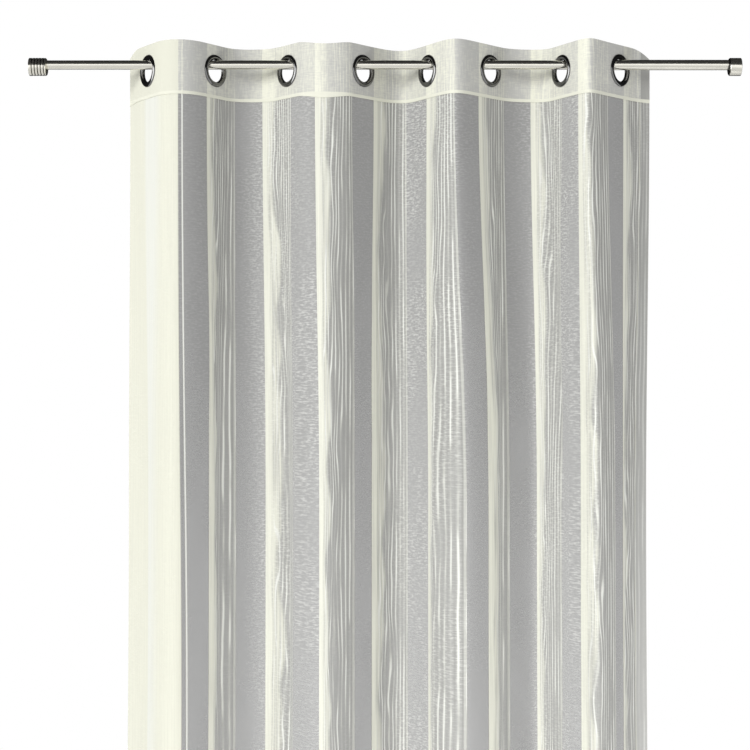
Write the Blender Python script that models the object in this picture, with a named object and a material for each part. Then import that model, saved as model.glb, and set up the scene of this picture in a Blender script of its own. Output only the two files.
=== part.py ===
"""Sheer voile curtain on eight metal eyelets, hanging in soft waves from a two-tube metal rod.

Metres, +Z up. The rod's axis lies on the X axis, with its mid-length at the origin. Minus Y is the
room side. The cloth is worked out as a plan curve, seen from above, which changes from the rings
down to the hem, and every sheet is that curve given a height and a thickness.
"""

import collections
import math

import bmesh
import bpy
import numpy as np

# Rod: a thin tube on the left runs into a thicker one, and a cap closes each end.
ROD_HALF_LENGTH = 0.6624
THIN_RADIUS = 0.0085
THICK_RADIUS = 0.0095
TUBE_JOINT_X = 0.382
CAP_RADIUS = 0.0165
CAP_DROP = 0.0036
LEFT_CAP_LENGTH = 0.0324
RIGHT_CAP_LENGTH = 0.0224
CAP_ROUNDING = 0.0030
ROUNDING_POINTS = 5
CAP_BEVEL = 0.0008
GROOVE_PITCH = 0.0056
GROOVE_WIDTH = 0.0016
GROOVE_DEPTH = 0.0012
GROOVES = 5
FIRST_GROOVE = 0.0061
TUBE_SIDES = 28

# Eyelets: an inner throat for the rod, two rounded flanges, and a groove that grips the heading.
# The section of a flange lists the share of the way from throat to rim, and the height of its
# face there above the ring's middle plane. RING_SLACK keeps the throat off the rod.
THROAT_RADIUS = 0.0205
FLANGE_RADIUS = 0.0300
BARREL_RADIUS = 0.0240
FLANGE_COLUMNS = ("share", "height")
FLANGE_SECTION = (
    (0.04, 0.0022),
    (0.20, 0.0038),
    (0.50, 0.0043),
    (0.81, 0.0035),
    (1.00, 0.0018),
)
RING_SLACK = 0.0013
RING_SIDES = 22

# Cloth.
GAP = 0.0003
HEADING_TOP = 0.0370
HEADING_HEIGHT = 0.0994
DROP = 2.400
HEADING_THICKNESS = 0.0024
VOILE_THICKNESS = 0.0010
HEM_THICKNESS = 0.0018
SIDE_HEM = 0.020
BOTTOM_HEM = 0.060
HEM_STEP = 0.004
HOLE_RADIUS = 0.0250
HOLE_CUT_DEPTH = 0.020
RING_FLAT = 0.0315
SEAM_Z = HEADING_TOP - HEADING_HEIGHT
HEM_Z = HEADING_TOP - DROP

# Where the cloth crosses the rod's line, left to right. x is the place along the rod. turn is how
# far the cloth is turned from the rod's line there, in degrees, and minus comes forward on the way
# right. sag is how much the edge of the fold on its right hangs below the others. Every fold
# holds the same width of cloth, so how far it stands out follows from that. These are the rings.
EYELET_PITCH = 0.171
COLUMNS = ("x", "turn", "sag")
AT_RINGS = (
    (-0.4408, -56, 0.000),
    (-0.3171, 54, 0.000),
    (-0.1813, -50, 0.005),
    (-0.0412, 48, 0.000),
    (0.0799, -59, 0.000),
    (0.1958, 47, 0.000),
    (0.3292, -62, 0.000),
    (0.4367, 47, 0.000),
)

# The same crossings lower down, where the cloth has settled and no ring holds it flat.
AT_MIDDLE = (
    (-0.4395, -58, 0.000),
    (-0.3140, 47, 0.000),
    (-0.1720, -52, 0.000),
    (-0.0430, 48, 0.000),
    (0.0840, -52, 0.000),
    (0.2140, 48, 0.000),
    (0.3380, -56, 0.000),
    (0.4420, 54, 0.000),
)
MIDDLE_FLAT = 0.008

# The free side flaps: their edge's place along and behind the rod, how far the cloth is turned
# there, how far the top corner droops, and how far the seam does.
FLAP_COLUMNS = ("x", "y", "turn", "corner_droop", "seam_droop")
LEFT_FLAP = (-0.4840, 0.068, -52, 0.0127, 0.0047)
RIGHT_FLAP = (0.5005, 0.050, 14, 0.0180, 0.0010)
LEFT_FLAP_LOW = (-0.4865, 0.066, -50, 0.0, 0.0)
RIGHT_FLAP_LOW = (0.4960, 0.061, 20, 0.0, 0.0)
DROOP_POWER = 2.5

# The cloth settles over this height below the seam, and then fans out a little to the hem, where
# its folds are wider and flatter by these shares.
SETTLE_HEIGHT = 0.75
HEM_SPREAD = 1.02
HEM_BULGE = 0.98

ARC_STEPS = 8
HALVINGS = 30
FLAP_STEPS = 5
SHARP_ANGLE = math.radians(40)
HEADING_ROWS = 4
PANEL_ROWS = 10

VOILE = ((0.62, 0.62, 0.58), 0.0, 0.85)
HEADING_CLOTH = ((0.72, 0.72, 0.65), 0.0, 0.85)
NICKEL = ((0.64, 0.62, 0.57), 1.0, 0.28)
DARK_CHROME = ((0.30, 0.29, 0.28), 1.0, 0.22)


def clear_scene():
    for old in list(bpy.data.objects):
        bpy.data.objects.remove(old, do_unlink=True)


def material(name, finish):
    """A Principled material from (colour, metallic, roughness)."""
    colour, metallic, roughness = finish
    made = bpy.data.materials.new(name)
    made.use_nodes = True
    shader = made.node_tree.nodes["Principled BSDF"]
    shader.inputs["Base Color"].default_value = (*colour, 1.0)
    shader.inputs["Metallic"].default_value = metallic
    shader.inputs["Roughness"].default_value = roughness
    made.diffuse_color = (*colour, 1.0)
    return made


def add_object(name, mesh, finish):
    """Puts a mesh in the scene, shaded smooth but for its sharp edges."""
    mesh.shade_smooth()
    mesh.set_sharp_from_angle(angle=SHARP_ANGLE)
    mesh.materials.append(material(name, finish))
    made = bpy.data.objects.new(name, mesh)
    bpy.context.scene.collection.objects.link(made)
    return made


def straight(start, turn, lengths):
    """Points and headings along a straight stretch that leaves start at the angle turn."""
    way = np.array([math.cos(turn), math.sin(turn)])
    return start + np.outer(lengths, way), np.tile(way, (len(lengths), 1))


def arc(start, end, turn_start, turn_end, reach, t):
    """Points and headings at t along a cubic curve from start to end. It leaves at turn_start,
    arrives at turn_end, and both of its handles are reach long."""
    way_start = np.array([math.cos(turn_start), math.sin(turn_start)])
    way_end = np.array([math.cos(turn_end), math.sin(turn_end)])
    controls = np.array([start, start + reach * way_start, end - reach * way_end, end])
    t = t[:, None]
    points = (
        controls[0] * (1 - t) ** 3
        + controls[1] * 3 * t * (1 - t) ** 2
        + controls[2] * 3 * t**2 * (1 - t)
        + controls[3] * t**3
    )
    legs = np.diff(controls, axis=0)
    headings = legs[0] * (1 - t) ** 2 + legs[1] * 2 * t * (1 - t) + legs[2] * t**2
    return points, headings / np.linalg.norm(headings, axis=1)[:, None]


def along(points):
    """The distance along the cloth of each point of a plan curve."""
    return np.concatenate([[0.0], np.cumsum(np.linalg.norm(np.diff(points, axis=0), axis=1))])


def fold(start, end, turn_start, turn_end, cloth, t):
    """The arc between two crossings that holds this much cloth. Longer handles make it fuller, so
    their length is found by halving."""
    low, high = 0.0, cloth
    for _ in range(HALVINGS):
        reach = (low + high) / 2
        inside, headings = arc(start, end, turn_start, turn_end, reach, t)
        if along(np.vstack([start, inside, end]))[-1] < cloth:
            low = reach
        else:
            high = reach
    return inside, headings


def flap(side, inner, turn, outward):
    """The free stretch between inner, where a crossing's straight stretch ends, and the side edge.
    outward is -1 at the left edge and 1 at the right one."""
    side = dict(zip(FLAP_COLUMNS, side))
    edge = np.array([side["x"], side["y"]])
    edge_turn = math.radians(side["turn"])
    reach = np.linalg.norm(edge - inner) / 3
    share = np.linspace(0.0, 1.0, FLAP_STEPS + 1)[1:]
    if outward < 0:
        share = share[::-1]
        curve = arc(edge, inner, edge_turn, turn, reach, 1 - share)
    else:
        curve = arc(inner, edge, turn, edge_turn, reach, share)
    droop = share**DROOP_POWER
    return (*curve, side["corner_droop"] * droop, side["seam_droop"] * droop)


# A plan curve is the cloth seen from above, left edge to right edge. top_drop and seam_drop are
# how far the top edge and the seam hang below their level at each of its points.
PlanCurve = collections.namedtuple("PlanCurve", "points headings top_drop seam_drop")


def plan_curve(rows, left_flap, right_flap, flat):
    """Joins the left flap, a straight stretch at each crossing, the folds and the right flap."""
    rows = [dict(zip(COLUMNS, row)) for row in rows]
    turns = [math.radians(row["turn"]) for row in rows]
    crossings = [np.array([row["x"], 0.0]) for row in rows]
    flats = [straight(place, turn, [-flat, flat]) for place, turn in zip(crossings, turns)]
    starts = [points[0] for points, _ in flats]
    ends = [points[1] for points, _ in flats]
    t = np.linspace(0.0, 1.0, ARC_STEPS + 1)[1:-1]
    level = np.zeros(2)
    parts = [flap(left_flap, starts[0], turns[0], -1)]
    for i, row in enumerate(rows[:-1]):
        sag = row["sag"] * np.sin(math.pi * t) ** 2
        cloth = EYELET_PITCH - 2 * flat
        parts.append((*flats[i], level, level))
        parts.append((*fold(ends[i], starts[i + 1], turns[i], turns[i + 1], cloth, t), sag, sag))
    parts.append((*flats[-1], level, level))
    parts.append(flap(right_flap, ends[-1], turns[-1], 1))
    return PlanCurve(*(np.concatenate(pieces) for pieces in zip(*parts)))


def smooth_step(share):
    share = np.clip(share, 0.0, 1.0)
    return share * share * (3 - 2 * share)


def plan_at(depth, at_rings, at_middle):
    """The plan curve at a depth below the seam: a blend from the rings' curve to the settled one,
    which then opens a little more on its way to the hem."""
    settle = smooth_step(depth / SETTLE_HEIGHT)
    points = at_rings.points + (at_middle.points - at_rings.points) * settle
    headings = at_rings.headings + (at_middle.headings - at_rings.headings) * settle
    below = smooth_step((depth - SETTLE_HEIGHT) / (SEAM_Z - HEM_Z - SETTLE_HEIGHT))
    opening = np.array([1 + (HEM_SPREAD - 1) * below, 1 + (HEM_BULGE - 1) * below])
    return points * opening, headings * opening


def sheet(name, points, headings, heights, thickness, finish):
    """A closed sheet. points and headings are (rows, columns, 2), and heights and thickness are
    (rows, columns), with the top row first. Each side lies half the thickness off the middle."""
    length = np.linalg.norm(headings, axis=2, keepdims=True)
    normals = np.stack([headings[..., 1], -headings[..., 0]], axis=2) / length
    rows, columns = heights.shape
    sides = []
    for side in (0.5, -0.5):
        place = points + normals * (thickness * side)[..., None]
        sides.append(np.dstack([place, heights]).reshape(-1, 3))
    count = rows * columns
    index = np.arange(count).reshape(rows, columns)
    corners = (index[:-1, :-1], index[1:, :-1], index[1:, 1:], index[:-1, 1:])
    front = np.stack(corners, axis=2).reshape(-1, 4)
    faces = [*front.tolist(), *(front[:, ::-1] + count).tolist()]
    rim = np.concatenate([index[0], index[1:, -1], index[-1, -2::-1], index[-2:0:-1, 0]])
    turned = np.roll(rim, -1)
    faces += np.stack([rim, turned, turned + count, rim + count], axis=1).tolist()
    mesh = bpy.data.meshes.new(name)
    mesh.from_pydata([tuple(point) for point in np.concatenate(sides)], [], faces)
    return add_object(name, mesh, finish)


def panel(at_rings, at_middle):
    """The single voile sheet below the heading, thicker along its folded side and bottom hems."""
    hem_top = HEM_Z + BOTTOM_HEM
    shares = np.linspace(0.0, 1.0, PANEL_ROWS + 1)
    body = SEAM_Z + (hem_top - SEAM_Z) * shares
    levels = np.concatenate([body, [hem_top - HEM_STEP, HEM_Z]])
    columns = [plan_at(SEAM_Z - level, at_rings, at_middle) for level in levels]
    points = np.stack([column[0] for column in columns])
    headings = np.stack([column[1] for column in columns])
    fade = 1 - smooth_step((SEAM_Z - levels) / SETTLE_HEIGHT)
    heights = levels[:, None] - fade[:, None] * at_rings.seam_drop
    heights[0] -= GAP
    reach = along(at_rings.points)
    in_side_hem = (reach < SIDE_HEM) | (reach > reach[-1] - SIDE_HEM)
    in_bottom_hem = levels < hem_top
    hemmed = in_side_hem[None, :] | in_bottom_hem[:, None]
    thickness = np.where(hemmed, HEM_THICKNESS, VOILE_THICKNESS)
    return sheet("voile_panel", points, headings, heights, thickness, VOILE)


def heading(at_rings):
    """The doubled band along the top, with a hole for each eyelet's barrel."""
    shares = np.linspace(0.0, 1.0, HEADING_ROWS + 1)[:, None]
    top = HEADING_TOP - at_rings.top_drop
    bottom = SEAM_Z - at_rings.seam_drop
    heights = top + (bottom - top) * shares
    band = sheet(
        "heading_band",
        np.tile(at_rings.points, (len(shares), 1, 1)),
        np.tile(at_rings.headings, (len(shares), 1, 1)),
        heights,
        np.full(heights.shape, HEADING_THICKNESS),
        HEADING_CLOTH,
    )
    reach = HOLE_CUT_DEPTH / 2
    profile = [(0.0, -reach), (HOLE_RADIUS, -reach), (HOLE_RADIUS, reach), (0.0, reach)]
    for number, row in enumerate(AT_RINGS, 1):
        cutter = turned_solid(f"heading_hole_{number}", profile, RING_SIDES, HEADING_CLOTH)
        place_ring(cutter, row)
        cutter.hide_render = True
        cutter.display_type = "WIRE"
        cut = band.modifiers.new(cutter.name, "BOOLEAN")
        cut.operation = "DIFFERENCE"
        cut.solver = "EXACT"
        cut.object = cutter
    return band


def turned_solid(name, profile, sides, finish):
    """A solid turned about its own Y axis. profile lists (radius, place along Y), and a profile
    that starts and ends on the axis closes there, while any other one closes on itself."""
    ring = bmesh.new()
    on_axis = profile[0][0] == 0.0
    angles = np.linspace(0.0, math.tau, sides, endpoint=False)
    loops = []
    for radius, place in profile:
        if radius == 0.0:
            loops.append([ring.verts.new((0.0, place, 0.0))])
            continue
        loops.append([ring.verts.new((radius * math.cos(a), place, radius * math.sin(a))) for a in angles])
    pairs = list(zip(loops, loops[1:])) + ([] if on_axis else [(loops[-1], loops[0])])
    for low, high in pairs:
        for i in range(sides):
            j = (i + 1) % sides
            corners = [low[i % len(low)], low[j % len(low)], high[j % len(high)], high[i % len(high)]]
            ring.faces.new(list(dict.fromkeys(corners)))
    bmesh.ops.recalc_face_normals(ring, faces=ring.faces)
    mesh = bpy.data.meshes.new(name)
    ring.to_mesh(mesh)
    ring.free()
    return add_object(name, mesh, finish)


def place_ring(piece, row):
    """Hangs a ring on the rod at one crossing, square to the cloth there."""
    x, turn = row[0], row[1]
    tube = THIN_RADIUS if x < TUBE_JOINT_X else THICK_RADIUS
    piece.location = (x, 0.0, tube + RING_SLACK - THROAT_RADIUS)
    piece.rotation_euler = (0.0, 0.0, math.radians(turn))


def eyelets():
    """Eight rings, alike on both faces, that grip the heading with a small gap all round."""
    width = FLANGE_RADIUS - THROAT_RADIUS
    half = [(THROAT_RADIUS + width * share, height) for share, height in FLANGE_SECTION]
    half.append((BARREL_RADIUS, HEADING_THICKNESS / 2 + GAP))
    mirrored = [(radius, -place) for radius, place in reversed(half)]
    profile = [(THROAT_RADIUS, 0.0), *half, *mirrored]
    for number, row in enumerate(AT_RINGS, 1):
        ring = turned_solid(f"eyelet_{number}", profile, RING_SIDES, DARK_CHROME)
        place_ring(ring, row)


def lay_along_rod(piece, x, z, inward):
    """Turns a solid's own Y axis onto the rod, from its start at x. inward is 1 when that runs to
    the right and -1 when it runs to the left."""
    piece.location = (x, 0.0, z)
    piece.rotation_euler = (0.0, 0.0, -inward * math.pi / 2)


def tube(name, radius, start, end):
    length = end - start
    profile = [(0.0, 0.0), (radius, 0.0), (radius, length), (0.0, length)]
    lay_along_rod(turned_solid(name, profile, TUBE_SIDES, NICKEL), start, 0.0, 1)


def rounded_shoulder(length):
    """The last profile points of a cap: a quarter round from its side onto its inner face."""
    centre = (CAP_RADIUS - CAP_ROUNDING, length - CAP_ROUNDING)
    turns = [(math.cos(a), math.sin(a)) for a in np.linspace(0.0, math.pi / 2, ROUNDING_POINTS)]
    return [(centre[0] + CAP_ROUNDING * c, centre[1] + CAP_ROUNDING * s) for c, s in turns]


def cap(name, length, grooves, outer_x, inward):
    """An end cap, turned from its flat outer face inwards. Its grooves run round it."""
    profile = [(0.0, 0.0), (CAP_RADIUS - CAP_BEVEL, 0.0), (CAP_RADIUS, CAP_BEVEL)]
    for i in range(grooves):
        start = FIRST_GROOVE + i * GROOVE_PITCH - GROOVE_WIDTH / 2
        floor = CAP_RADIUS - GROOVE_DEPTH
        profile += [(CAP_RADIUS, start), (floor, start)]
        profile += [(floor, start + GROOVE_WIDTH), (CAP_RADIUS, start + GROOVE_WIDTH)]
    profile += [*rounded_shoulder(length), (0.0, length)]
    piece = turned_solid(name, profile, TUBE_SIDES, NICKEL)
    lay_along_rod(piece, outer_x, -CAP_DROP, inward)


def rod():
    left_inner = -ROD_HALF_LENGTH + LEFT_CAP_LENGTH
    right_inner = ROD_HALF_LENGTH - RIGHT_CAP_LENGTH
    tube("thin_tube", THIN_RADIUS, left_inner + GAP, TUBE_JOINT_X)
    tube("thick_tube", THICK_RADIUS, TUBE_JOINT_X + GAP, right_inner - GAP)
    cap("left_cap", LEFT_CAP_LENGTH, GROOVES, -ROD_HALF_LENGTH, 1)
    cap("right_cap", RIGHT_CAP_LENGTH, 0, ROD_HALF_LENGTH, -1)


def main():
    clear_scene()
    at_rings = plan_curve(AT_RINGS, LEFT_FLAP, RIGHT_FLAP, RING_FLAT)
    at_middle = plan_curve(AT_MIDDLE, LEFT_FLAP_LOW, RIGHT_FLAP_LOW, MIDDLE_FLAT)
    rod()
    eyelets()
    heading(at_rings)
    panel(at_rings, at_middle)


main()
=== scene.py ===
"""Sheer voile curtain on eight eyelets and a two-tube rod: the looks, set round its solids.

The script goes through the object as it is put together: the rod, its end caps, the cloth, and
the eyelets. The floor, light and camera come last.
"""

import math

import bpy
import numpy as np
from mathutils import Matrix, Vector


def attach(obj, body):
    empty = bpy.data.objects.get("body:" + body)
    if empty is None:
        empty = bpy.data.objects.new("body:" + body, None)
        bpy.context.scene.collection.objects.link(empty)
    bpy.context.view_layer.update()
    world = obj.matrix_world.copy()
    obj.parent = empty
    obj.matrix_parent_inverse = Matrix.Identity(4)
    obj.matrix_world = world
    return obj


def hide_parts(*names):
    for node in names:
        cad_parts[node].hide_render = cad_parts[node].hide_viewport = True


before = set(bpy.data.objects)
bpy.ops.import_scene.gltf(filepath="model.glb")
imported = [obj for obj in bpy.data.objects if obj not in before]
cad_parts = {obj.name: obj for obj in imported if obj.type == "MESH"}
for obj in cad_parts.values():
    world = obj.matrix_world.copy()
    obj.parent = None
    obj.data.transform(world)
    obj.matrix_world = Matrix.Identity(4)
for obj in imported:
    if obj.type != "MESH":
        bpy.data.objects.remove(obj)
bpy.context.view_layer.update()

# Rod tubes. Two satin nickel plated steel tubes, one a little thicker, so that the rod can be
# drawn out to length. The thin one slides into the thick one, which ends in a rolled mouth.
ROD_HALF_LENGTH = 0.6624
THIN_RADIUS = 0.0085
THICK_RADIUS = 0.0095
TUBE_JOINT_X = 0.382
MOUTH_ROUNDING = 0.0008
LEFT_CAP_LENGTH = 0.0324
RIGHT_CAP_LENGTH = 0.0224
TUBE_SIDES = 96
SHARP_ANGLE = math.radians(35)
GRAIN_SCALE = (4.0, 900.0, 900.0)
GRAIN_DEPTH = 0.00002
SPOT_SCALE = 22.0
SPOT_SHADE = 0.93
NICKEL_TINT = (0.84, 0.82, 0.74, 1.0)


class Wire:
    """A socket or number that takes part in shader sums: each sum adds its Math node."""

    def __init__(self, tree, value):
        self.tree = tree
        self.value = value

    def _join(self, operation, other, turned=False):
        pair = (other, self) if turned else (self, other)
        return self.tree.make("ShaderNodeMath", {"operation": operation}, dict(enumerate(pair)))

    def __add__(self, other):
        return self._join("ADD", other)

    def __radd__(self, other):
        return self._join("ADD", other, True)

    def __sub__(self, other):
        return self._join("SUBTRACT", other)

    def __rsub__(self, other):
        return self._join("SUBTRACT", other, True)

    def __mul__(self, other):
        return self._join("MULTIPLY", other)

    def __rmul__(self, other):
        return self._join("MULTIPLY", other, True)

    def __truediv__(self, other):
        return self._join("DIVIDE", other)

    def call(self, operation, other=0.0):
        return self._join(operation, other)


class Board:
    """A node tree, and the few kinds of node that this object needs."""

    def __init__(self, tree):
        self.nodes = tree.nodes
        self.links = tree.links

    def make(self, kind, settings=None, inputs=None, output=0):
        """Adds a node: its settings first, then the values or wires of its sockets."""
        node = self.nodes.new(kind)
        for name, value in (settings or {}).items():
            setattr(node, name, value)
        for key, value in (inputs or {}).items():
            self.plug(node.inputs[key], value)
        return None if output is None else Wire(self, node.outputs[output])

    def plug(self, socket, value):
        if isinstance(value, Wire):
            self.links.new(value.value, socket)
        else:
            socket.default_value = value

    def noise(self, place, scale, detail=2.0, roughness=0.5):
        sockets = {"Vector": place, "Scale": scale, "Detail": detail, "Roughness": roughness}
        return self.make("ShaderNodeTexNoise", None, sockets)

    def step(self, value, low, high):
        """0 below low, 1 above high, and a smooth rise between them."""
        ends = {"Value": value, "From Min": low, "From Max": high}
        return self.make("ShaderNodeMapRange", {"interpolation_type": "SMOOTHSTEP"}, ends)

    def blend(self, share, first, second):
        """first where share is 0 and second where it is 1. A colour Mix has its factor in socket
        0, its colours in sockets 6 and 7, and its result in output 2."""
        ends = {0: share, 6: first, 7: second}
        return self.make("ShaderNodeMix", {"data_type": "RGBA"}, ends, 2)

    def vector(self, x, y, z):
        return self.make("ShaderNodeCombineXYZ", None, {0: x, 1: y, 2: z})

    def split(self, place):
        """The three numbers of a place."""
        return [self.make("ShaderNodeSeparateXYZ", None, {0: place}, axis) for axis in range(3)]


class Finish(Board):
    """One material: a Principled shader, and the nodes that feed it."""

    def __init__(self, name, **constants):
        self.material = bpy.data.materials.new(name)
        self.material.use_nodes = True
        super().__init__(self.material.node_tree)
        self.shader = self.nodes["Principled BSDF"]
        for socket, value in constants.items():
            self.shader.inputs[socket.replace("_", " ")].default_value = value

    def feed(self, socket, value):
        self.plug(self.shader.inputs[socket], value)

    def object_place(self):
        return self.make("ShaderNodeTexCoord", output="Object")

    def bump(self, height, distance, strength=1.0):
        sockets = {"Height": height, "Distance": distance, "Strength": strength}
        self.feed("Normal", self.make("ShaderNodeBump", None, sockets))


def add_piece(name, mesh, finish, *nodes):
    """Puts a finished mesh in the scene in place of its solids: gives it its finish, hangs it under
    the root body and hides the solids.
    """
    mesh.shade_smooth()
    mesh.set_sharp_from_angle(angle=SHARP_ANGLE)
    mesh.materials.append(finish.material)
    piece = bpy.data.objects.new(name, mesh)
    bpy.context.scene.collection.objects.link(piece)
    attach(piece, "root")
    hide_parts(*nodes)
    return piece


def turned_mesh(name, profile, sides, centre, turn, closed_on_itself):
    """A surface turned about an axis: the point at angle a of a profile point (r, p) lies r cos a
    across, p along and r sin a up. It is then turned about Z and moved to its centre."""
    radius, place = np.array(profile).T
    angle = np.linspace(0.0, math.tau, sides, endpoint=False)
    across = radius[:, None] * np.cos(angle)
    along = np.repeat(place[:, None], sides, axis=1)
    up = radius[:, None] * np.sin(angle)
    x = centre[0] + across * math.cos(turn) - along * math.sin(turn)
    y = centre[1] + across * math.sin(turn) + along * math.cos(turn)
    points = np.stack([x, y, centre[2] + up], axis=2).reshape(-1, 3)
    index = np.arange(len(profile) * sides).reshape(len(profile), sides)
    low, high = index[:-1], index[1:]
    if closed_on_itself:
        low, high = index, np.roll(index, -1, axis=0)
    corners = (low, high, np.roll(high, -1, axis=1), np.roll(low, -1, axis=1))
    walls = np.stack(corners, axis=2).reshape(-1, 4)
    ends = [] if closed_on_itself else [index[0].tolist(), index[-1, ::-1].tolist()]
    mesh = bpy.data.meshes.new(name)
    mesh.from_pydata(points.tolist(), [], walls.tolist() + ends)
    return mesh


def rounded_rod(radius, length, rounding, steps=4):
    """A bar's profile from end to end, with a quarter round at each."""
    t = np.linspace(0.0, math.pi / 2, steps + 1)
    r = radius - rounding + rounding * np.sin(t)
    p = rounding - rounding * np.cos(t)
    return [*zip(r, p), *zip(r[::-1], length - p[::-1])]


def satin_nickel(name, tint):
    """Plated steel with a faint drawn grain along the tube, and a few soft spots of wear."""
    finish = Finish(name, Metallic=1.0)
    place = finish.object_place()
    stretch = {"Vector": place, "Scale": GRAIN_SCALE}
    drawn = finish.make("ShaderNodeMapping", {"vector_type": "POINT"}, stretch)
    grain = finish.noise(drawn, 1.0, 3.0)
    spots = finish.noise(place, SPOT_SCALE, 3.0)
    finish.feed("Roughness", 0.13 + grain * 0.08 + spots * 0.05)
    darker = tuple(value * SPOT_SHADE for value in tint[:3]) + (1.0,)
    plating = finish.blend(finish.step(spots, 0.35, 0.75), tint, darker)
    finish.feed("Base Color", plating)
    finish.bump(grain, GRAIN_DEPTH)
    return finish, plating


nickel, _ = satin_nickel("satin nickel", NICKEL_TINT)
left_inner = -ROD_HALF_LENGTH + LEFT_CAP_LENGTH
right_inner = ROD_HALF_LENGTH - RIGHT_CAP_LENGTH
for node, radius, start, end in (
    ("thin_tube", THIN_RADIUS, left_inner, TUBE_JOINT_X),
    ("thick_tube", THICK_RADIUS, TUBE_JOINT_X, right_inner),
):
    profile = rounded_rod(radius, end - start, MOUTH_ROUNDING)
    bar = turned_mesh(node, profile, TUBE_SIDES, (start, 0.0, 0.0), -math.pi / 2, False)
    add_piece(f"{node}_satin", bar, nickel, node)

# End caps. Turned from the same plated steel and pushed onto the tubes, a little low on them.
# The left one has five fine grooves round it, darkened with painted shade, and both have a rounded
# shoulder.
CAP_RADIUS = 0.0165
CAP_DROP = 0.0036
CAP_ROUNDING = 0.0030
CAP_BEVEL = 0.0008
FIRST_GROOVE = 0.0061
GROOVE_PITCH = 0.0056
GROOVE_WIDTH = 0.0016
GROOVE_DEPTH = 0.0012
GROOVE_EDGE = 0.0003
BEVEL_POINTS = 5
SHOULDER_POINTS = 9
# The painted groove shade fades in over these distances from the outer face and from the shoulder's
# end.
BRIGHT_FACE = (0.0015, 0.0020)
BRIGHT_SHOULDER = (0.0028, 0.0030)
GROOVE_SHADE = (0.03, 0.03, 0.03, 1.0)


def cap_profile(length, grooves):
    """From the outer face inwards: a small bevel, the grooves with eased edges, the shoulder."""
    t = np.linspace(0.0, math.pi / 2, BEVEL_POINTS)
    outer = CAP_BEVEL * (1 - np.sin(t))
    points = list(zip(CAP_RADIUS - outer, CAP_BEVEL * (1 - np.cos(t))))
    floor = CAP_RADIUS - GROOVE_DEPTH
    for i in range(grooves):
        start = FIRST_GROOVE + i * GROOVE_PITCH - GROOVE_WIDTH / 2
        end = start + GROOVE_WIDTH
        points += [(CAP_RADIUS, start - GROOVE_EDGE), (CAP_RADIUS - GROOVE_EDGE, start)]
        points += [(floor, start + GROOVE_EDGE), (floor, end - GROOVE_EDGE)]
        points += [(CAP_RADIUS - GROOVE_EDGE, end), (CAP_RADIUS, end + GROOVE_EDGE)]
    t = np.linspace(0.0, math.pi / 2, SHOULDER_POINTS)
    shoulder_radius = CAP_RADIUS - CAP_ROUNDING + CAP_ROUNDING * np.cos(t)
    return points + list(zip(shoulder_radius, length - CAP_ROUNDING + CAP_ROUNDING * np.sin(t)))


grooved, plating = satin_nickel("grooved nickel", NICKEL_TINT)
x, y, z = grooved.split(grooved.object_place())
above_axis = z + CAP_DROP
off_axis = (y * y + above_axis * above_axis).call("SQRT")
from_middle = x.call("ABSOLUTE")
# Painted shade: where a cap is cut in below its rim, it is coloured near black. That is in the
# grooves, and on the right cap's shoulder and inner end.
painted_groove_shade = 1.0 - grooved.step(off_axis, CAP_RADIUS - GROOVE_DEPTH, CAP_RADIUS - GROOVE_EDGE)
painted_groove_shade = painted_groove_shade * grooved.step(ROD_HALF_LENGTH - from_middle, *BRIGHT_FACE)
painted_groove_shade = painted_groove_shade * grooved.step(from_middle - abs(left_inner), *BRIGHT_SHOULDER)
grooved.feed("Base Color", grooved.blend(painted_groove_shade, plating, GROOVE_SHADE))
for node, length, grooves, outer_x, inward in (
    ("left_cap", LEFT_CAP_LENGTH, 5, -ROD_HALF_LENGTH, 1),
    ("right_cap", RIGHT_CAP_LENGTH, 0, ROD_HALF_LENGTH, -1),
):
    centre = (outer_x, 0.0, -CAP_DROP)
    profile = cap_profile(length, grooves)
    cap = turned_mesh(node, profile, TUBE_SIDES, centre, -inward * math.pi / 2, False)
    add_piece(f"{node}_satin", cap, grooved, node)

# Voile panel. One width of sheer voile with woven wood-grain stripes, folded over at both sides
# and along the hem. Seen from above it runs in waves, from eyelet to eyelet, and each wave holds
# the same width of cloth. It settles into softer waves below, and fans out a little at the hem.
HEADING_TOP = 0.0370
HEADING_HEIGHT = 0.0994
DROP = 2.400
SEAM_Z = HEADING_TOP - HEADING_HEIGHT
HEM_Z = HEADING_TOP - DROP
EYELET_PITCH = 0.171
RING_FLAT = 0.0315
MIDDLE_FLAT = 0.008
# Where the cloth crosses the line of the rod: how far right of its middle, the turn of the cloth
# in degrees, and how far the wave right of it sags. First at the eyelets, then well below them.
COLUMNS = ("x", "turn", "sag")
AT_RINGS = (
    (-0.4408, -56, 0.000),
    (-0.3171, 54, 0.000),
    (-0.1813, -50, 0.005),
    (-0.0412, 48, 0.000),
    (0.0799, -59, 0.000),
    (0.1958, 47, 0.000),
    (0.3292, -62, 0.000),
    (0.4367, 47, 0.000),
)
AT_MIDDLE = (
    (-0.4395, -58, 0.000),
    (-0.3140, 47, 0.000),
    (-0.1720, -52, 0.000),
    (-0.0430, 48, 0.000),
    (0.0840, -52, 0.000),
    (0.2140, 48, 0.000),
    (0.3380, -56, 0.000),
    (0.4420, 54, 0.000),
)
FLAP_COLUMNS = ("x", "y", "turn", "corner_droop", "seam_droop")
LEFT_FLAP = (-0.4840, 0.068, -52, 0.0127, 0.0047)
RIGHT_FLAP = (0.5005, 0.050, 14, 0.0180, 0.0010)
LEFT_FLAP_LOW = (-0.4865, 0.066, -50, 0.0, 0.0)
RIGHT_FLAP_LOW = (0.4960, 0.061, 20, 0.0, 0.0)
DROOP_POWER = 2.5
SETTLE_HEIGHT = 0.75
HEM_SPREAD = 1.02
HEM_BULGE = 0.98
ARC_STEPS = 26
FLAT_STEPS = 8
FLAP_STEPS = 18
HALVINGS = 30
PANEL_ROWS = 130
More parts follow.
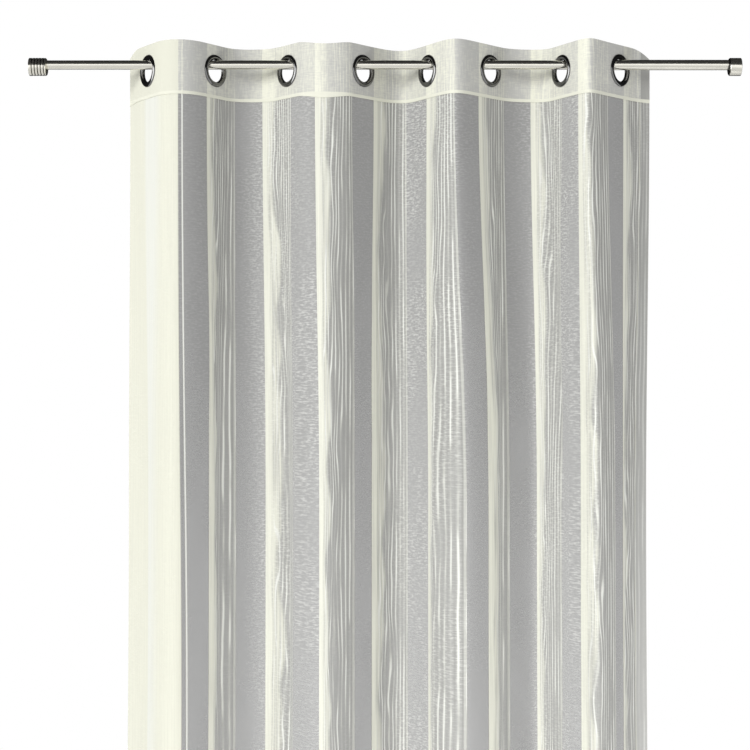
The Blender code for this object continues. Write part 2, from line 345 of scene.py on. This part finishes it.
HEM_ROWS = 5
HEM_STEP = 0.002
VOILE_THICKNESS = 0.0006
HEM_THICKNESS = 0.0014
SIDE_HEM = 0.020
BOTTOM_HEM = 0.060
STRIPE_REPEAT = 0.1326
STRIPE_START = -0.0416
STRIPE_WIDTH = 0.078
BAND_END = 0.190
# Where each stripe's two edges show, seen from the front across the plane of the rod, in metres
# right of the rod's middle: left and right edge at the heading, then where the waves have settled.
FIRST_STRIPE = 2
STRIPES_SEEN = (
    (-0.3325, -0.2795, -0.3290, -0.2770),
    (-0.2285, -0.1755, -0.2225, -0.1715),
    (-0.1305, -0.0615, -0.1225, -0.0570),
    (-0.0215, 0.0400, -0.0245, 0.0425),
    (0.0775, 0.1300, 0.0805, 0.1535),
    (0.1740, 0.2215, 0.1920, 0.2325),
    (0.2710, 0.3295, 0.2835, 0.3285),
    (0.3600, 0.4150, 0.3655, 0.4290),
)
# The eye that sees them so: how far right of the rod's middle, and how far in front of it.
VIEW_X = -0.0188
VIEW_DISTANCE = 3.10


def cubic(start, end, turn_start, turn_end, handle, t):
    """A cubic curve and its headings at t, with handles of one length along the two turns."""
    way_start = np.array([math.cos(turn_start), math.sin(turn_start)])
    way_end = np.array([math.cos(turn_end), math.sin(turn_end)])
    controls = np.array([start, start + handle * way_start, end - handle * way_end, end])
    t = t[:, None]
    shares = ((1 - t) ** 3, 3 * t * (1 - t) ** 2, 3 * t**2 * (1 - t), t**3)
    points = sum(share * control for share, control in zip(shares, controls))
    legs = np.diff(controls, axis=0)
    headings = legs[0] * (1 - t) ** 2 + legs[1] * 2 * t * (1 - t) + legs[2] * t**2
    return points, headings / np.linalg.norm(headings, axis=1)[:, None]


def reach_along(points):
    """How far along the cloth each point of a plan curve lies."""
    return np.concatenate([[0.0], np.cumsum(np.linalg.norm(np.diff(points, axis=0), axis=1))])


def wave(start, end, turn_start, turn_end, cloth, t):
    """The cubic that holds this much cloth between two crossings, found by halving its handles."""
    low, high = 0.0, cloth
    for _ in range(HALVINGS):
        handle = (low + high) / 2
        inside, headings = cubic(start, end, turn_start, turn_end, handle, t)
        short = reach_along(np.vstack([start, inside, end]))[-1] < cloth
        low, high = (handle, high) if short else (low, handle)
    return inside, headings


def side_flap(side, inner, turn, outward):
    """The free stretch from a crossing to the side edge, with how far its top and seam droop."""
    side = dict(zip(FLAP_COLUMNS, side))
    edge = np.array([side["x"], side["y"]])
    edge_turn = math.radians(side["turn"])
    handle = np.linalg.norm(edge - inner) / 3
    share = np.linspace(0.0, 1.0, FLAP_STEPS + 1)[1:]
    if outward < 0:
        share = share[::-1]
        curve = cubic(edge, inner, edge_turn, turn, handle, 1 - share)
    else:
        curve = cubic(inner, edge, turn, edge_turn, handle, share)
    droop = share**DROOP_POWER
    return (*curve, side["corner_droop"] * droop, side["seam_droop"] * droop)


def plan_curve(rows, left_flap, right_flap, flat):
    """The cloth seen from above: left flap, a straight stretch at each crossing, the waves
    between them, right flap. Returns points, headings, top droop and seam droop."""
    rows = [dict(zip(COLUMNS, row)) for row in rows]
    turns = [math.radians(row["turn"]) for row in rows]
    t = np.linspace(0.0, 1.0, ARC_STEPS + 1)[1:-1]
    lengths = np.linspace(-flat, flat, FLAT_STEPS + 1)
    flats = []
    for row, turn in zip(rows, turns):
        way = np.array([math.cos(turn), math.sin(turn)])
        points = np.array([row["x"], 0.0]) + np.outer(lengths, way)
        flats.append((points, np.tile(way, (len(lengths), 1))))
    level = np.zeros(len(lengths))
    parts = [side_flap(left_flap, flats[0][0][0], turns[0], -1)]
    for i, row in enumerate(rows[:-1]):
        ends = (flats[i][0][-1], flats[i + 1][0][0], turns[i], turns[i + 1])
        sag = row["sag"] * np.sin(math.pi * t) ** 2
        parts.append((*flats[i], level, level))
        parts.append((*wave(*ends, EYELET_PITCH - 2 * flat, t), sag, sag))
    parts.append((*flats[-1], level, level))
    parts.append(side_flap(right_flap, flats[-1][0][-1], turns[-1], 1))
    return [np.concatenate(pieces) for pieces in zip(*parts)]


def smooth_step(share):
    """3 s squared less 2 s cubed: a rise from 0 to 1 that is level at both ends."""
    share = np.clip(share, 0.0, 1.0)
    return share * share * (3 - 2 * share)


def sheet_mesh(name, points, headings, heights, thickness, woven):
    """A closed sheet on a grid of plan points and heights: each side lies half the thickness off
    the middle, along the plan curve's normal. Its UV map holds metres along and up the weave, and
    its slope how far it turns to the right, as a sine."""
    rows, columns = heights.shape
    length = np.linalg.norm(headings, axis=2, keepdims=True)
    normals = np.stack([headings[..., 1], -headings[..., 0]], axis=2) / length
    sides = []
    for side in (0.5, -0.5):
        place = points + normals * (thickness * side)[..., None]
        sides.append(np.dstack([place, heights]).reshape(-1, 3))
    count = rows * columns
    index = np.arange(count).reshape(rows, columns)
    corners = (index[:-1, :-1], index[1:, :-1], index[1:, 1:], index[:-1, 1:])
    front = np.stack(corners, axis=2).reshape(-1, 4)
    rim = np.concatenate([index[0], index[1:, -1], index[-1, -2::-1], index[-2:0:-1, 0]])
    after = np.roll(rim, -1)
    edge = np.stack([rim, after, after + count, rim + count], axis=1)
    faces = np.concatenate([front, front[:, ::-1] + count, edge])
    mesh = bpy.data.meshes.new(name)
    mesh.from_pydata(np.concatenate(sides).tolist(), [], faces.tolist())
    along = np.tile(woven.ravel(), 2)
    up = np.tile(heights.ravel(), 2)
    uv = np.stack([along[faces], up[faces]], axis=2).reshape(-1)
    mesh.uv_layers.new(name="cloth").data.foreach_set("uv", uv)
    slope = np.tile((headings[..., 1] / length[..., 0]).ravel(), 2)
    mesh.attributes.new("slope", "FLOAT", "POINT").data.foreach_set("value", slope)
    return mesh


def seen_across(points):
    """Where plan points show across the plane of the rod, along their lines of sight."""
    return VIEW_X + (points[:, 0] - VIEW_X) * VIEW_DISTANCE / (VIEW_DISTANCE + points[:, 1])


def weave_reach(reach, settled):
    """How far along the weave each place lies, on rows that have settled by these shares: the
    weave is stretched or squeezed, in straight runs, so that each stripe meets its two edges."""
    seen = np.array(STRIPES_SEEN)
    at_heading = np.interp(seen[:, :2].ravel(), seen_across(ring_points), reach)
    at_low = np.interp(seen[:, 2:].ravel(), seen_across(at_middle[0]), reach)
    starts = STRIPE_START + STRIPE_REPEAT * (FIRST_STRIPE + np.arange(len(seen)))
    woven = np.stack([starts, starts + STRIPE_WIDTH], axis=1).ravel()
    band = [0.0, BAND_END]
    side = [hem_side, cloth_width]
    rows = []
    for share in settled:
        edges = at_heading + (at_low - at_heading) * share
        rows.append(np.interp(reach, [*band, *edges, *side], [*band, *woven, *side]))
    return np.array(rows)


at_rings = plan_curve(AT_RINGS, LEFT_FLAP, RIGHT_FLAP, RING_FLAT)
at_middle = plan_curve(AT_MIDDLE, LEFT_FLAP_LOW, RIGHT_FLAP_LOW, MIDDLE_FLAT)
ring_points, ring_headings, top_drop, seam_drop = at_rings
reach = reach_along(ring_points)
cloth_width = float(reach[-1])
hem_side = cloth_width - SIDE_HEM
hem_top = HEM_Z + BOTTOM_HEM
levels = np.concatenate([
    np.linspace(SEAM_Z, hem_top, PANEL_ROWS + 1),
    np.linspace(hem_top - HEM_STEP, HEM_Z, HEM_ROWS),
])
settle = smooth_step((SEAM_Z - levels) / SETTLE_HEIGHT)[:, None, None]
fan = smooth_step((SEAM_Z - levels - SETTLE_HEIGHT) / (SEAM_Z - HEM_Z - SETTLE_HEIGHT))
opening = np.stack([1 + (HEM_SPREAD - 1) * fan, 1 + (HEM_BULGE - 1) * fan], axis=1)[:, None, :]
panel_points = (ring_points + (at_middle[0] - ring_points) * settle) * opening
panel_headings = (ring_headings + (at_middle[1] - ring_headings) * settle) * opening
panel_heights = levels[:, None] - (1 - settle[:, :, 0]) * seam_drop
side_hemmed = (reach < SIDE_HEM) | (reach > hem_side)
hemmed = side_hemmed[None, :] | (levels < hem_top)[:, None]
panel_mesh = sheet_mesh(
    "voile_panel",
    panel_points,
    panel_headings,
    panel_heights,
    np.where(hemmed, HEM_THICKNESS, VOILE_THICKNESS),
    weave_reach(reach, settle[:, 0, 0]),
)

# Stripes repeat every 13 cm of cloth. A stripe is solid cream on its left, with a wavy right side,
# and breaks up into fine bright threads that run like wood grain and end in one straight thread.
# A broad cream band lies along the left side, with a straight thread beside it.
THREAD_PITCH = 0.0074
THREAD_CORE = 0.0006
LAST_THREAD_INSET = 0.0022
BORDER_WIDTH = 0.013
BORDER_SWAY = 0.010
SOLID_WIDTH = 0.027
SOLID_SWAY = 0.022
SOLID_FRAY = 0.006
BAND_WIDTH = 0.1665
BAND_DRIFT = 0.0085
BAND_THREAD = 0.1735
THREAD_DRIFT = 0.0095
OPENING_HEIGHT = 1.25
PALE_FROM = (0.060, 0.075)
PALE_TO = (0.105, 0.135)
STITCH_INSET = 0.0012
HEM_EDGE = 0.0005
FULL_TURN = 0.45
SLUB_DEPTH = 0.0004
CREAM = (0.705, 0.705, 0.605, 1.0)
PALE_CREAM = (0.73, 0.74, 0.69, 1.0)
THREAD_WHITE = (0.86, 0.87, 0.83, 1.0)
SHEER_GREY = (0.225, 0.225, 0.22, 1.0)
SHADE_GREY = (0.12, 0.12, 0.115, 1.0)
SLUB_GREY = (0.64, 0.64, 0.62, 1.0)


def woven_stripes(cloth, along, up):
    """White threads, solid cream yarn, the darker gaps between threads, and the broad band along
    the left side, each 0 to 1. A stripe has a solid border on its left, a streaky field with a wavy
    right side, and threads that drift like wood grain. A thread shows where a numbered line's
    fraction is near one half. A noise drawn out up the cloth bends the lines and thins them."""
    repeat = (along - STRIPE_START) / STRIPE_REPEAT
    number = repeat.call("FLOOR")
    inside = (repeat - number) * STRIPE_REPEAT
    grain = cloth.noise(cloth.vector(inside * 40.0, up * 6.0, number * 7.31), 1.0, 1.5, 0.45)
    sway = cloth.noise(cloth.vector(number * 3.7, up * 7.0, 0.0), 1.0, 1.0) - 0.5
    calm = 1.0 - cloth.step(inside, STRIPE_WIDTH * 0.35, STRIPE_WIDTH * 0.90)
    line = inside / THREAD_PITCH + (grain - 0.5) * (0.6 + calm * 3.4)
    off_line = (line.call("FRACT") - 0.5).call("ABSOLUTE") * 2.0
    break_place = cloth.vector(line.call("FLOOR") * 5.3, up * 8.0, number * 3.1)
    strength = 0.26 + cloth.step(cloth.noise(break_place, 1.0, 1.0), 0.32, 0.60) * 0.58
    thread = (1.0 - cloth.step(off_line, 0.12, 0.52)) * strength
    streak = cloth.noise(cloth.vector(along * 420.0, up * 5.0, number), 1.0, 1.0)
    streak = cloth.step(streak, 0.30, 0.66)
    field_end = sway * (SOLID_SWAY * 2) + SOLID_WIDTH
    field = 1.0 - cloth.step(inside - field_end, -SOLID_FRAY, SOLID_FRAY)
    field = field * (0.50 + streak * 0.40)
    border_end = sway * BORDER_SWAY + BORDER_WIDTH
    border = 1.0 - cloth.step(inside - border_end, -0.004, 0.003)
    thread = thread * (1.0 - border)
    border = border * (0.88 + streak * 0.12)
    off_last = (inside - STRIPE_WIDTH + LAST_THREAD_INSET).call("ABSOLUTE")
    last = (1.0 - cloth.step(off_last, THREAD_CORE, 0.0019)) * 0.5
    drift = cloth.step(SEAM_Z - up, 0.0, OPENING_HEIGHT)
    past_band = along - drift * BAND_DRIFT - BAND_WIDTH
    past_thread = along - drift * THREAD_DRIFT - BAND_THREAD
    band_thread = (1.0 - cloth.step(past_thread.call("ABSOLUTE"), THREAD_CORE, 0.0020)) * 0.85
    band = 1.0 - cloth.step(past_band, -0.0014, 0.0010)
    beside_band = 1.0 - cloth.step(past_thread, 0.0, 0.0010)
    within = 1.0 - cloth.step(inside, STRIPE_WIDTH - 0.001, STRIPE_WIDTH)
    within = within * (1.0 - beside_band)
    solid = border.call("MAXIMUM", field)
    thread = thread.call("MAXIMUM", last).call("MAXIMUM", 0.15) * within
    thread = thread.call("MAXIMUM", band_thread)
    shade = within * (1.0 - solid) * cloth.step(off_line, 0.45, 0.90) * (0.15 + streak * 0.28)
    shade = shade.call("MAXIMUM", beside_band * (0.05 + streak * 0.25))
    solid = (solid * within).call("MAXIMUM", band * (0.93 + streak * 0.05))
    return thread, solid, shade, band


def cloth_places(cloth):
    """Metres along and up the weave, then two masks: where the cloth turns to the left, towards the
    key light, which is used only to paint light on the cloth, and the side hem."""
    along, up, _ = cloth.split(cloth.make("ShaderNodeUVMap", {"uv_map": "cloth"}))
    slope = cloth.make("ShaderNodeAttribute", {"attribute_name": "slope"}, None, "Fac")
    painted_light_side = 1.0 - cloth.step(slope, -FULL_TURN, FULL_TURN)
    side_hem = cloth.step(along, hem_side - HEM_EDGE, hem_side + HEM_EDGE)
    return along, up, painted_light_side, side_hem


voile = Finish("striped voile", Roughness=0.8, Specular_IOR_Level=0.15)
along, up, painted_light_side, side_hem = cloth_places(voile)
thread, solid, shade, band = woven_stripes(voile, along, up)
weft = voile.noise(voile.vector(along * 85.0, up * 430.0, 0.0), 1.0, 1.5, 0.65)
curl = voile.noise(voile.vector(along * 190.0, up * 260.0, 4.0), 1.0, 1.0, 0.6)
cloud = voile.noise(voile.vector(along * 16.0, up * 5.0, 3.0), 1.0, 1.0)
# Painted light: slubs show strongly where the cloth turns to the left, towards the key light, and
# only faintly elsewhere.
tufts_and_painted_light = (0.40 + voile.step(cloud, 0.38, 0.60) * 0.60) * (0.22 + painted_light_side * 0.78)
slubs_with_painted_light = voile.step(weft * 0.6 + curl * 0.4, 0.44, 0.64) * tufts_and_painted_light
# The weave opens a little from the heading down, and is doubled in the hems.
opening_down = voile.step(SEAM_Z - up, 0.0, OPENING_HEIGHT)
low_hem = 1.0 - voile.step(up, hem_top - HEM_EDGE, hem_top + HEM_EDGE)
doubled_edge = side_hem.call("MAXIMUM", low_hem)
off_side_stitch = (along - hem_side + STITCH_INSET).call("ABSOLUTE")
off_low_stitch = (up - hem_top + STITCH_INSET).call("ABSOLUTE")
stitch = 1.0 - voile.step(off_side_stitch.call("MINIMUM", off_low_stitch), 0.0004, 0.0014)
# Painted shade: the stripes are dimmed in the right side hem.
yarn = thread.call("MAXIMUM", solid) * (1.0 - side_hem * 0.6)
yarn = yarn.call("MAXIMUM", stitch * 0.8)
open_cloth = 0.63 - opening_down * 0.13 + slubs_with_painted_light * 0.14 + shade * 0.08 + (cloud - 0.5) * 0.10
open_cloth = open_cloth + (0.96 - open_cloth) * doubled_edge
voile.feed("Alpha", (yarn * 0.97 + (1.0 - yarn) * open_cloth).call("MINIMUM", 1.0))
# Painted light: the open weave is also tinted lighter where the cloth turns to the left, towards
# the key light.
weave_and_painted_light = slubs_with_painted_light * (1.0 - shade) * 0.70 + painted_light_side * 0.22
open_colour = voile.blend(weave_and_painted_light, SHEER_GREY, SLUB_GREY)
open_colour = voile.blend(shade * 0.85, open_colour, SHADE_GREY)
denser = (side_hem * (0.15 + opening_down * 0.35)).call("MAXIMUM", low_hem * 0.7)
open_colour = voile.blend(denser, open_colour, SLUB_GREY)
pale = band * voile.step(along, *PALE_FROM) * (1.0 - voile.step(along, *PALE_TO))
stripe_colour = voile.blend(pale * 0.8, CREAM, PALE_CREAM)
stripe_colour = voile.blend(thread, stripe_colour, THREAD_WHITE)
voile.feed("Base Color", voile.blend(yarn, open_colour, stripe_colour))
voile.bump(yarn * 0.6 + slubs_with_painted_light * 0.6, SLUB_DEPTH)
panel = add_piece("striped_voile_panel", panel_mesh, voile, "voile_panel")

# Heading. The top of the cloth doubled over a stiffening tape, with its lower edge turned in and
# topstitched to the panel. A round hole is punched through it for each eyelet.
HEADING_THICKNESS = 0.0024
FOLD_THICKNESS = 0.0030
FOLD_HEIGHT = 0.0056
FOLD_EDGE = 0.0006
HATCH_DEPTH = 0.0003
HEADING_ROWS = 22
HOLE_RADIUS = 0.0250
HOLE_SIDES = 48
HOLE_CUT_DEPTH = 0.020
THROAT_RADIUS = 0.0205
RING_SLACK = 0.0008
HEADING_GREY = (0.50, 0.50, 0.48, 1.0)
HEADING_CREAM = (0.745, 0.745, 0.64, 1.0)
HEADING_BAND = (0.66, 0.66, 0.565, 1.0)
HEADING_HEM_SHADE = (0.30, 0.30, 0.285, 1.0)


def ring_centre(row):
    """Where an eyelet hangs: its throat lies just over the top of the tube."""
    tube_radius = THIN_RADIUS if row[0] < TUBE_JOINT_X else THICK_RADIUS
    return (row[0], 0.0, tube_radius + RING_SLACK - THROAT_RADIUS)


top = HEADING_TOP - top_drop
bottom = SEAM_Z - seam_drop
shares = np.linspace(0.0, 1.0, HEADING_ROWS + 1)[:, None]
fold_start = bottom + FOLD_HEIGHT
body = top + (fold_start + FOLD_EDGE - top) * shares
heading_heights = np.vstack([body, fold_start, (fold_start + bottom) / 2, bottom])
heading_thickness = np.full(heading_heights.shape, HEADING_THICKNESS)
heading_thickness[-3:] = FOLD_THICKNESS
heading_mesh = sheet_mesh(
    "heading_band",
    np.tile(ring_points, (len(heading_heights), 1, 1)),
    np.tile(ring_headings, (len(heading_heights), 1, 1)),
    heading_heights,
    heading_thickness,
    weave_reach(reach, np.zeros(len(heading_heights))),
)
uncut = bpy.data.objects.new("uncut_heading", heading_mesh)
bpy.context.scene.collection.objects.link(uncut)
punches = []
punch_profile = [(HOLE_RADIUS, -HOLE_CUT_DEPTH / 2), (HOLE_RADIUS, HOLE_CUT_DEPTH / 2)]
for number, row in enumerate(AT_RINGS, 1):
    turn = math.radians(row[1])
    punch_mesh = turned_mesh("punch", punch_profile, HOLE_SIDES, ring_centre(row), turn, False)
    punch = bpy.data.objects.new(f"punch_{number}", punch_mesh)
    bpy.context.scene.collection.objects.link(punch)
    cut = uncut.modifiers.new(punch.name, "BOOLEAN")
    cut.operation = "DIFFERENCE"
    cut.solver = "EXACT"
    cut.object = punch
    punches.append(punch)
bpy.context.view_layer.update()
graph = bpy.context.evaluated_depsgraph_get()
punched_mesh = bpy.data.meshes.new_from_object(uncut.evaluated_get(graph))
for helper in [uncut, *punches]:
    bpy.data.objects.remove(helper, do_unlink=True)

doubled = Finish("doubled voile", Roughness=0.8, Specular_IOR_Level=0.15)
along, up, painted_light_side, side_hem = cloth_places(doubled)
thread, solid, _, band = woven_stripes(doubled, along, up)
yarn = thread.call("MAXIMUM", solid)
weft = doubled.noise(doubled.vector(along * 70.0, up * 400.0, 0.0), 1.0, 2.0)
warp = doubled.noise(doubled.vector(along * 360.0, up * 50.0, 5.0), 1.0, 2.0)
hatch = doubled.step(weft * 0.5 + warp * 0.5, 0.40, 0.62)
cloud = doubled.noise(doubled.vector(along * 34.0, up * 14.0, 9.0), 1.0, 2.0)
# Painted light: the heading is paler where it turns to the left, towards the key light.
pale = yarn * 0.55 + hatch * 0.34 + (cloud - 0.5) * 0.6 + band * 0.5 + painted_light_side * 0.40 - 0.10
# Painted shade: the heading's right side hem is darkened, here and in the colour blend below.
pale = pale * (1.0 - side_hem * 0.8)
pale = pale.call("MAXIMUM", 0.0).call("MINIMUM", 1.0)
fold_mask = 1.0 - doubled.step(up - SEAM_Z, FOLD_HEIGHT, FOLD_HEIGHT + FOLD_EDGE)
colour = doubled.blend(pale, HEADING_GREY, HEADING_CREAM)
colour = doubled.blend(band, colour, HEADING_BAND)
colour = doubled.blend(side_hem * 0.75, colour, HEADING_HEM_SHADE)
doubled.feed("Base Color", doubled.blend(fold_mask * 0.85, colour, CREAM))
doubled.feed("Alpha", (0.90 + pale * 0.08 + fold_mask * 0.1).call("MINIMUM", 1.0))
doubled.bump(hatch * 0.4 + yarn * 0.6, HATCH_DEPTH)
heading = add_piece("doubled_heading", punched_mesh, doubled, "heading_band")

# Eyelets. Pressed steel rings in dark chrome, snapped together from both faces of the heading, so
# each has a rounded flange on either side and a smooth throat for the rod.
FLANGE_RADIUS = 0.0300
FLANGE_CREST = 0.0043
BARREL_RADIUS = 0.0240
RING_GAP = 0.0003
RING_SIDES = 72
FLANGE_POINTS = 15
WEAR_SCALE = 60.0
DARK_TINT = (0.16, 0.16, 0.16, 1.0)
WORN_TINT = (0.21, 0.21, 0.21, 1.0)
dark_chrome = Finish("dark chrome", Metallic=1.0)
wear = dark_chrome.noise(dark_chrome.object_place(), WEAR_SCALE, 3.0)
dark_chrome.feed("Base Color", dark_chrome.blend(wear, DARK_TINT, WORN_TINT))
dark_chrome.feed("Roughness", 0.07 + wear * 0.07)
groove = HEADING_THICKNESS / 2 + RING_GAP
angles = np.linspace(0.0, math.pi, FLANGE_POINTS)
flange_radius = THROAT_RADIUS + (FLANGE_RADIUS - THROAT_RADIUS) * (1 + np.cos(angles)) / 2
flange_height = groove + (FLANGE_CREST - groove) * np.sin(angles)
front = [(BARREL_RADIUS, groove), *zip(flange_radius, flange_height)]
ring_profile = front + [(radius, -height) for radius, height in reversed(front)]
for number, row in enumerate(AT_RINGS, 1):
    turn = math.radians(row[1])
    ring = turned_mesh("ring", ring_profile, RING_SIDES, ring_centre(row), turn, True)
    add_piece(f"eyelet_ring_{number}", ring, dark_chrome, f"eyelet_{number}")

# Floor, light and camera. The curtain hangs over a plain pale floor in an even white studio. A soft
# sun from the left is the key light. Metal sees a dark canopy overhead, which gives it its shape.
FLOOR_GAP = 0.02
FLOOR_HALF_WIDTH = 2.6
FLOOR_NEAR = -3.6
FLOOR_FAR = 3.0
FLOOR_TINT = (0.85, 0.85, 0.85, 1.0)
KEY_ENERGY = 2.1
KEY_SPREAD = math.radians(26)
KEY_SIDE = Vector((-0.64, -0.77, 0.25))
LOW_PLACE = Vector((1.15, -1.20, -1.90))
LOW_TARGET = Vector((0.40, 0.0, -1.30))
LOW_WIDTH = 1.6
LOW_HEIGHT = 0.7
LOW_ENERGY = 14.0
AMBIENT = 0.72
CANOPY_SIDE = (0.0, 0.6, 1.0)
CANOPY_EDGE = (0.22, 0.34)
PANEL_SIDE = (-0.94, -0.33, 0.0)
PANEL_EDGE = (0.90, 0.95)
PANEL_STRENGTH = 4.5
WHITE = (1.0, 1.0, 1.0, 1.0)
floor_z = HEM_Z - FLOOR_GAP
floor_mesh = bpy.data.meshes.new("floor")
floor_mesh.from_pydata(
    [
        (-FLOOR_HALF_WIDTH, FLOOR_NEAR, floor_z),
        (FLOOR_HALF_WIDTH, FLOOR_NEAR, floor_z),
        (FLOOR_HALF_WIDTH, FLOOR_FAR, floor_z),
        (-FLOOR_HALF_WIDTH, FLOOR_FAR, floor_z),
    ],
    [],
    [(0, 1, 2, 3)],
)
floor = bpy.data.objects.new("floor", floor_mesh)
bpy.context.scene.collection.objects.link(floor)
pale_floor = Finish("pale floor", Base_Color=FLOOR_TINT, Roughness=0.9)
floor_mesh.materials.append(pale_floor.material)

key = bpy.data.lights.new("key", "SUN")
key.energy = KEY_ENERGY
key.angle = KEY_SPREAD
key_lamp = bpy.data.objects.new("key", key)
key_lamp.rotation_euler = KEY_SIDE.to_track_quat("Z", "Y").to_euler()
key_lamp.visible_glossy = False
bpy.context.scene.collection.objects.link(key_lamp)

low_fill = bpy.data.lights.new("low fill", "AREA")
low_fill.shape = "RECTANGLE"
low_fill.size = LOW_WIDTH
low_fill.size_y = LOW_HEIGHT
low_fill.energy = LOW_ENERGY
low_lamp = bpy.data.objects.new("low fill", low_fill)
low_lamp.location = LOW_PLACE
low_lamp.rotation_euler = (LOW_PLACE - LOW_TARGET).to_track_quat("Z", "Y").to_euler()
low_lamp.visible_camera = False
low_lamp.visible_glossy = False
bpy.context.scene.collection.objects.link(low_lamp)

world = bpy.data.worlds.new("studio")
world.use_nodes = True
bpy.context.scene.world = world
sky = Board(world.node_tree)
sky.nodes.clear()
direction = sky.make("ShaderNodeTexCoord", output="Generated")


def facing(towards):
    """The cosine between a direction of the sky and another one."""
    sockets = {0: direction, 1: Vector(towards).normalized()}
    return sky.make("ShaderNodeVectorMath", {"operation": "DOT_PRODUCT"}, sockets, "Value")


# What metal sees, from under the floor up to the dark canopy, which leans over the curtain. Each
# stop is (how far up, brightness). A bright panel stands on the left, and ends at the canopy.
SKY_STOPS = (
    (0.00, 0.52),
    (0.10, 0.78),
    (0.20, 1.10),
    (0.28, 1.25),
    (0.355, 1.32),
    (0.395, 0.05),
    (1.00, 0.02),
)
lean = facing(CANOPY_SIDE) * 0.486 + 0.5
bright = sky.make("ShaderNodeValToRGB", None, {0: lean})
ramp = bright.value.node.color_ramp
for i, (place, value) in enumerate(SKY_STOPS):
    stop = ramp.elements[i] if i < 2 else ramp.elements.new(place)
    stop.position = place
    stop.color = (value, value, value, 1.0)
below_canopy = 1.0 - sky.step(facing((0.0, 0.0, 1.0)), *CANOPY_EDGE)
panel_light = sky.step(facing(PANEL_SIDE), *PANEL_EDGE) * below_canopy
shiny_strength = 1.0 + panel_light * PANEL_STRENGTH
bright = sky.blend(panel_light, bright, WHITE)
path = sky.nodes.new("ShaderNodeLightPath")
shiny = sky.make("ShaderNodeBackground", None, {"Color": bright, "Strength": shiny_strength})
plain = sky.make("ShaderNodeBackground", None, {"Color": WHITE, "Strength": AMBIENT})
seen = sky.make("ShaderNodeBackground", None, {"Color": WHITE})
glossy_ray = Wire(sky, path.outputs["Is Glossy Ray"])
camera_ray = Wire(sky, path.outputs["Is Camera Ray"])
by_gloss = sky.make("ShaderNodeMixShader", None, {0: glossy_ray, 1: plain, 2: shiny})
by_camera = sky.make("ShaderNodeMixShader", None, {0: camera_ray, 1: by_gloss, 2: seen})
sky.make("ShaderNodeOutputWorld", None, {"Surface": by_camera}, None)

CAMERA_PLACE = (VIEW_X, -VIEW_DISTANCE, -0.5775)
FOCAL_PIXELS = 1664.0
PICTURE_PIXELS = 750.0
SENSOR_WIDTH = 36.0
camera = bpy.data.cameras.new("camera")
camera.sensor_width = SENSOR_WIDTH
camera.lens = SENSOR_WIDTH * FOCAL_PIXELS / PICTURE_PIXELS
viewer = bpy.data.objects.new("camera", camera)
viewer.location = CAMERA_PLACE
viewer.rotation_euler = (math.pi / 2, 0.0, 0.0)
bpy.context.scene.collection.objects.link(viewer)
bpy.context.scene.camera = viewer
bpy.context.scene.view_settings.view_transform = "Standard"
bpy.context.scene.cycles.transparent_max_bounces = 8
